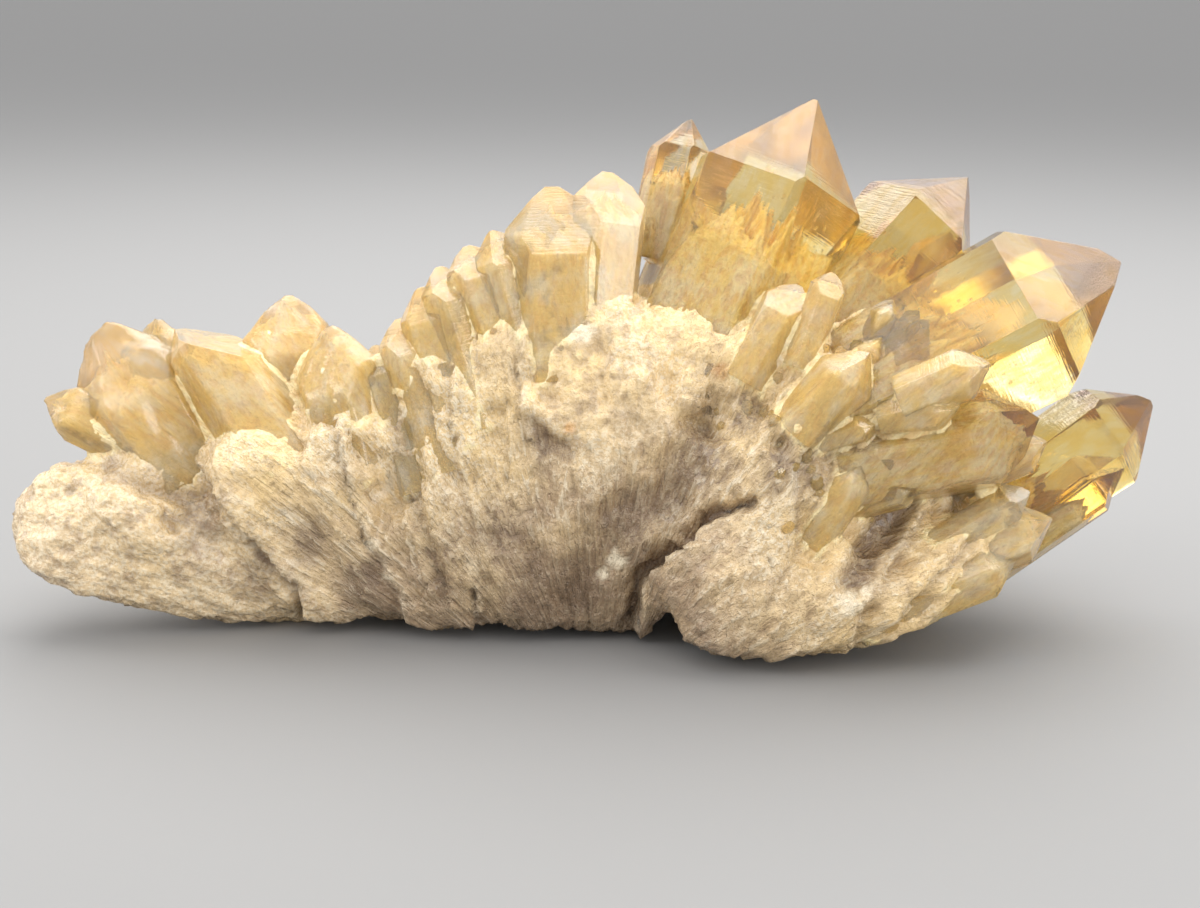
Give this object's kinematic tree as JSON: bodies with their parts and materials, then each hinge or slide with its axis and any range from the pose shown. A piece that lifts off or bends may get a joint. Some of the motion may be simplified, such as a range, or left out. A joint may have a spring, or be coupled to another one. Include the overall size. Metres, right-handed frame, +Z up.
{
  "type": "crystal cluster",
  "caption": "Free-standing cluster of golden, glass-clear quartz crystals that fan out from one cloudy, ribbed root, with small points in rows behind and at one end",
  "frame": {"origin": "middle of the bounding box's bottom, on the surface that the cluster rests on", "axes": "+X along the cluster's length towards the end with the large clear points, -Y towards the broken front flank, +Z up"},
  "size_m": [0.2256, 0.0848, 0.1019],
  "materials": {
    "citrine": "golden quartz, clear at the tips and cloudy with white fibres at the root"
  },
  "bodies": {
    "root": {"citrine_cluster": "citrine"}
  },
  "joints": []
}
